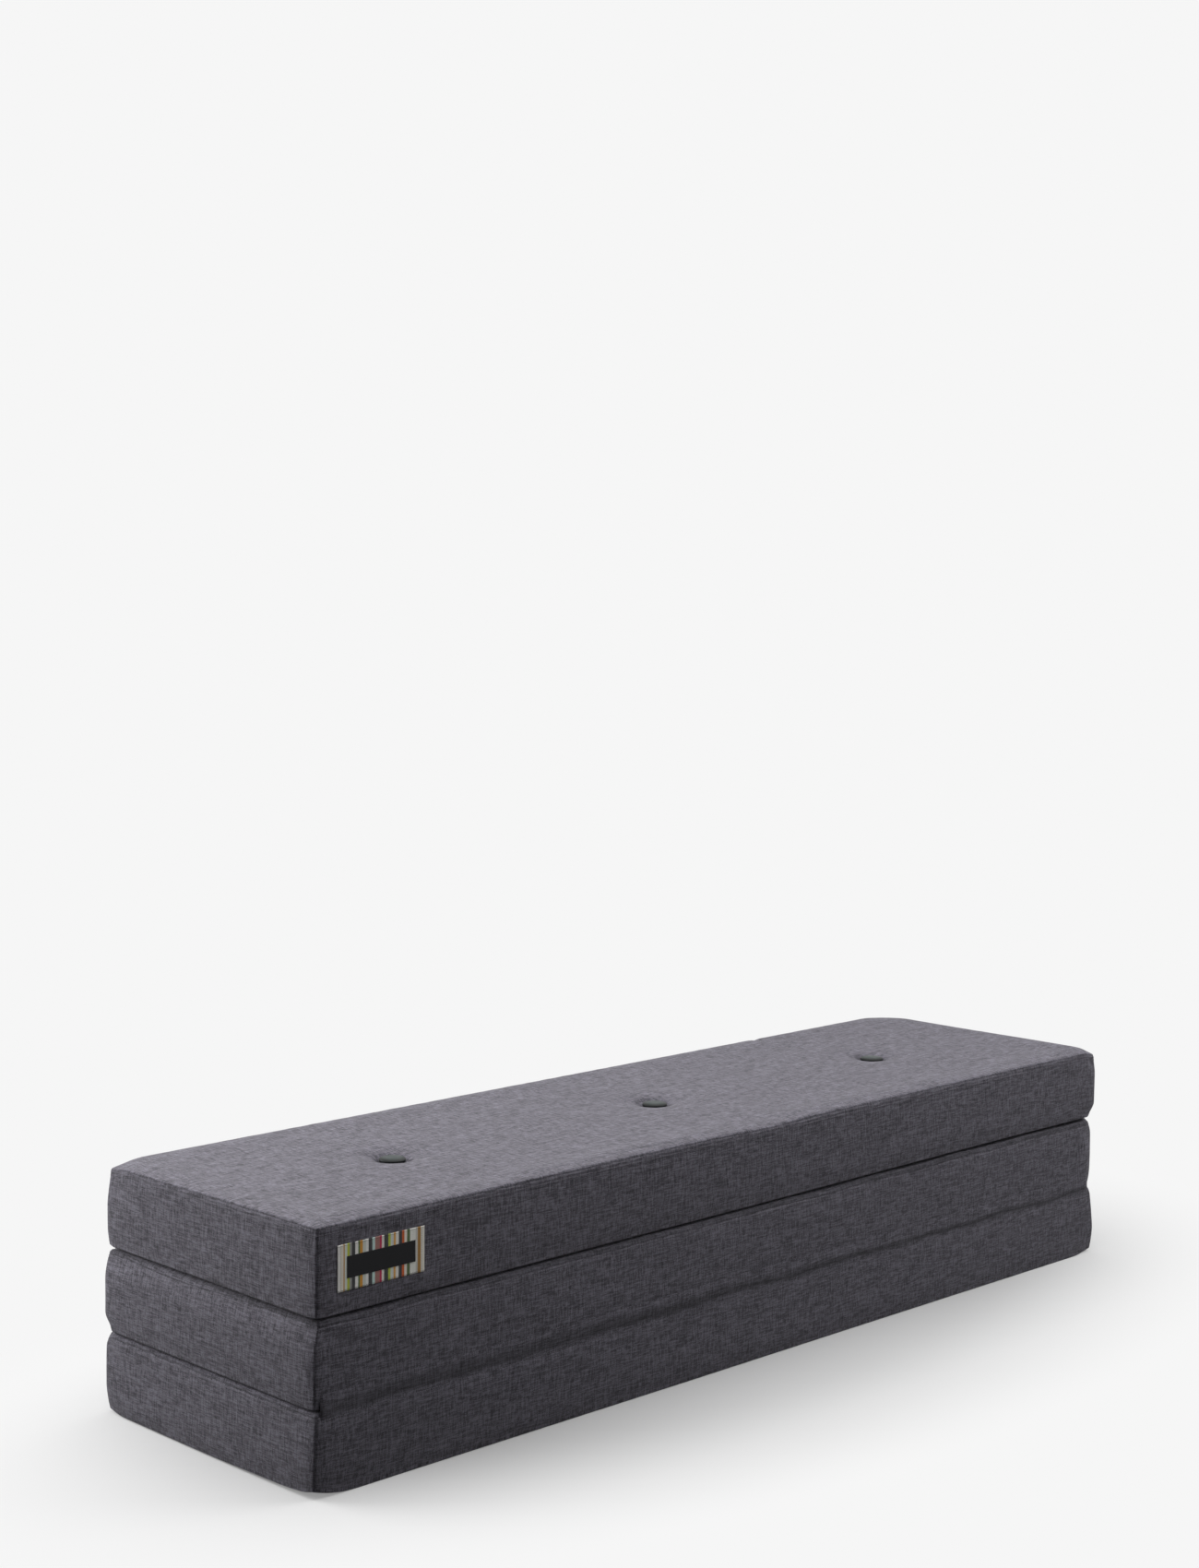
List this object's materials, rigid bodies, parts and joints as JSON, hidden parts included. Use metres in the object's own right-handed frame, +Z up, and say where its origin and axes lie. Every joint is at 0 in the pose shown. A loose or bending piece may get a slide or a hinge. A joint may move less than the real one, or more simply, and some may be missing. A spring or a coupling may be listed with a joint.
{
  "type": "folding mattress",
  "caption": "Folding foam mattress: button-tufted sections in sewn zipped covers, hinged along alternate long edges, so that they stack as a Z or open flat.",
  "frame": {"origin": "middle of the folded mattress's box, at the floor", "axes": "+X along the sections to their zipped ends, +Y from the labelled long side to the back, +Z up"},
  "size_m": [1.806, 0.5012, 0.3746],
  "materials": {
    "cover_fabric": "matte dark grey linen-look weave",
    "foam": "open-cell polyurethane foam",
    "button": "satin dark teal-grey",
    "tuft_anchor": "moulded nylon",
    "zip_tape": "woven polyester tape with its chain",
    "zip_metal": "satin dark enamel",
    "label_ribbon": "woven striped ribbon",
    "label_plate": "plain black woven patch"
  },
  "bodies": {
    "bottom_section": {"bottom_foam_core": "foam", "bottom_upper_panel": "cover_fabric", "bottom_lower_panel": "cover_fabric", "bottom_front_side": "cover_fabric", "bottom_back_side": "cover_fabric", "bottom_left_end": "cover_fabric", "bottom_right_end_upper": "cover_fabric", "bottom_right_end_lower": "cover_fabric", "bottom_zip_tape": "zip_tape", "bottom_button_1": "button", "bottom_anchor_1": "tuft_anchor", "bottom_button_2": "button", "bottom_anchor_2": "tuft_anchor", "bottom_button_3": "button", "bottom_anchor_3": "tuft_anchor", "front_hinge_seam": "cover_fabric"},
    "bottom_slider": {"bottom_zip_slider": "zip_metal"},
    "bottom_pull": {"bottom_zip_pull": "zip_metal"},
    "middle_section": {"middle_foam_core": "foam", "middle_upper_panel": "cover_fabric", "middle_lower_panel": "cover_fabric", "middle_front_side": "cover_fabric", "middle_back_side": "cover_fabric", "middle_left_end": "cover_fabric", "middle_right_end_upper": "cover_fabric", "middle_right_end_lower": "cover_fabric", "middle_zip_tape": "zip_tape", "middle_button_1": "button", "middle_anchor_1": "tuft_anchor", "middle_button_2": "button", "middle_anchor_2": "tuft_anchor", "middle_button_3": "button", "middle_anchor_3": "tuft_anchor", "back_hinge_seam": "cover_fabric"},
    "middle_slider": {"middle_zip_slider": "zip_metal"},
    "middle_pull": {"middle_zip_pull": "zip_metal"},
    "top_section": {"top_foam_core": "foam", "top_upper_panel": "cover_fabric", "top_lower_panel": "cover_fabric", "top_front_side": "cover_fabric", "top_back_side": "cover_fabric", "top_left_end": "cover_fabric", "top_right_end_upper": "cover_fabric", "top_right_end_lower": "cover_fabric", "top_zip_tape": "zip_tape", "top_button_1": "button", "top_anchor_1": "tuft_anchor", "top_button_2": "button", "top_anchor_2": "tuft_anchor", "top_button_3": "button", "top_anchor_3": "tuft_anchor", "label_ribbon": "label_ribbon", "label_plate": "label_plate"},
    "top_slider": {"top_zip_slider": "zip_metal"},
    "top_pull": {"top_zip_pull": "zip_metal"}
  },
  "joints": [
    {"name": "middle_fold", "type": "hinge", "parent": "bottom_section", "child": "middle_section", "pos_m": [0, -0.24973, 0.1234], "axis": [1, 0, 0], "range_deg": [0, 180]},
    {"name": "top_fold", "type": "hinge", "parent": "middle_section", "child": "top_section", "pos_m": [0, 0.25107, 0.2472], "axis": [-1, 0, 0], "range_deg": [0, 180]},
    {"name": "bottom_zip_slide", "type": "slide", "parent": "bottom_section", "child": "bottom_slider", "axis": [0, 1, 0], "range_m": [0, 0.448]},
    {"name": "bottom_pull_swing", "type": "hinge", "parent": "bottom_slider", "child": "bottom_pull", "pos_m": [0.9015, -0.22333, 0.0615], "axis": [0, -1, 0], "range_deg": [0, 170]},
    {"name": "middle_zip_slide", "type": "slide", "parent": "middle_section", "child": "middle_slider", "axis": [0, 1, 0], "range_m": [0, 0.448]},
    {"name": "middle_pull_swing", "type": "hinge", "parent": "middle_slider", "child": "middle_pull", "pos_m": [0.9015, -0.22333, 0.1853], "axis": [0, -1, 0], "range_deg": [0, 170]},
    {"name": "top_zip_slide", "type": "slide", "parent": "top_section", "child": "top_slider", "axis": [0, 1, 0], "range_m": [0, 0.448]},
    {"name": "top_pull_swing", "type": "hinge", "parent": "top_slider", "child": "top_pull", "pos_m": [0.9015, -0.22333, 0.3091], "axis": [0, -1, 0], "range_deg": [0, 170]}
  ]
}
